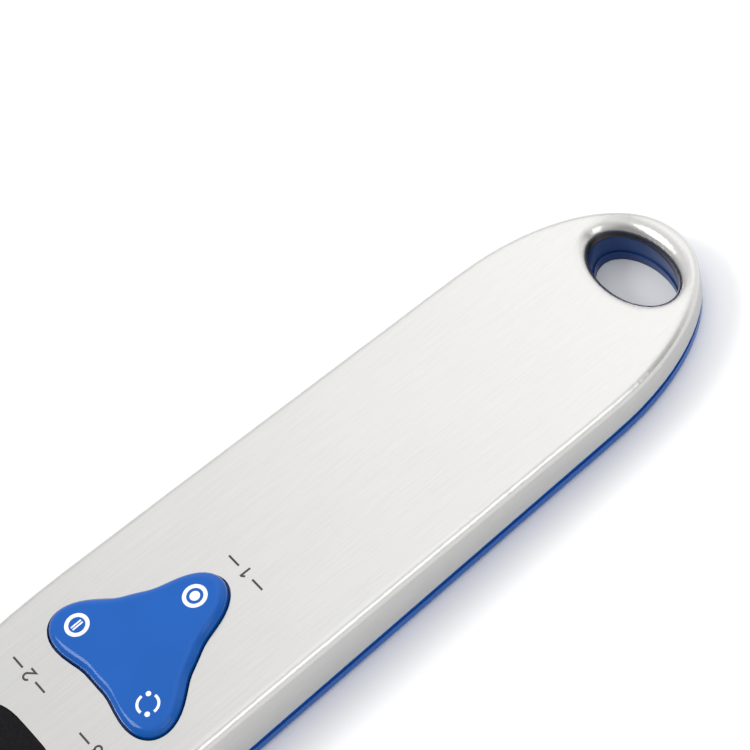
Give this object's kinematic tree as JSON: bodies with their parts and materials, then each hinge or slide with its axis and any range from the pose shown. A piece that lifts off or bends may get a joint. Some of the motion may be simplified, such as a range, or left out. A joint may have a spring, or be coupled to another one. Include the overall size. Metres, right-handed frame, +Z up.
{
  "type": "digital spoon scale",
  "caption": "Slim kitchen spoon scale: steel-topped blue handle with an oval hanging hole, a three-lobed key, a display window and a plug-in measuring bowl.",
  "frame": {"origin": "on the flat back of the handle, straight below the middle of the three-lobed key", "axes": "+X along the handle towards the hanging hole, +Z up out of the steel top, +Y across the handle"},
  "size_m": [0.2386, 0.044, 0.014],
  "materials": {
    "steel_satin": "satin, softly polished",
    "blue_gloss": "moulded, glossy",
    "blue_key": "moulded, high gloss",
    "lens_clear": "clear window with a dark border",
    "lcd_grey": "reflective display glass",
    "holder_white": "moulded, matt",
    "zebra_pink": "matt",
    "board_green": "solder mask",
    "epoxy_black": "glob top",
    "cell_steel": "plated",
    "contact_nickel": "plated spring strip",
    "beam_aluminium": "machined",
    "gauge_foil": "foil on film",
    "screw_zinc": "zinc plated",
    "switch_black": "moulded, matt",
    "ribbon_grey": "flat cable sleeve"
  },
  "bodies": {
    "handle": {"anchor_screw_back": "screw_zinc", "anchor_screw_front": "screw_zinc", "back_cover": "blue_gloss", "board_screw_left": "screw_zinc", "board_screw_right": "screw_zinc", "case_screw_left": "screw_zinc", "case_screw_right": "screw_zinc", "case_screw_tail": "screw_zinc", "coin_cell": "cell_steel", "contact_negative": "contact_nickel", "contact_positive": "contact_nickel", "controller_chip": "epoxy_black", "display_lens": "lens_clear", "gauge_ribbon": "ribbon_grey", "grip_spring": "contact_nickel", "inner_frame": "blue_gloss", "lcd_glass": "lcd_grey", "lcd_holder": "holder_white", "load_cell": "beam_aluminium", "main_board": "board_green", "spoon_socket": "blue_gloss", "strain_gauge_bottom": "gauge_foil", "strain_gauge_top": "gauge_foil", "switch_hold": "switch_black", "switch_mode": "switch_black", "switch_tare": "switch_black", "top_cover": "steel_satin", "weigh_screw_back": "screw_zinc", "weigh_screw_front": "screw_zinc", "zebra_strip": "zebra_pink"},
    "key": {"key": "blue_key"},
    "stem_hold": {"stem_hold": "holder_white"},
    "stem_tare": {"stem_tare": "holder_white"},
    "stem_mode": {"stem_mode": "holder_white"},
    "battery_door": {"battery_door": "blue_gloss"},
    "spoon": {"spoon": "blue_gloss"}
  },
  "joints": [
    {"name": "key_press", "type": "slide", "parent": "handle", "child": "key", "axis": [0, 0, -1], "range_m": [0, 0.0003], "stiffness_N_per_m": 3000},
    {"name": "stem_hold_press", "type": "slide", "parent": "handle", "child": "stem_hold", "axis": [0, 0, -1], "range_m": [0, 0.0003]},
    {"name": "stem_tare_press", "type": "slide", "parent": "handle", "child": "stem_tare", "axis": [0, 0, -1], "range_m": [0, 0.0003]},
    {"name": "stem_mode_press", "type": "slide", "parent": "handle", "child": "stem_mode", "axis": [0, 0, -1], "range_m": [0, 0.0003]},
    {"name": "door_turn", "type": "hinge", "parent": "handle", "child": "battery_door", "pos_m": [0.033, 0, 0.001], "axis": [0, 0, 1], "range_deg": [0, 60]},
    {"name": "spoon_pull", "type": "slide", "parent": "handle", "child": "spoon", "axis": [-1, 0, 0], "range_m": [0, 0.012]}
  ],
  "couplings": [
    {"joint": "stem_hold_press", "follows": "key_press", "ratio": 1},
    {"joint": "stem_tare_press", "follows": "key_press", "ratio": 1},
    {"joint": "stem_mode_press", "follows": "key_press", "ratio": 1}
  ]
}
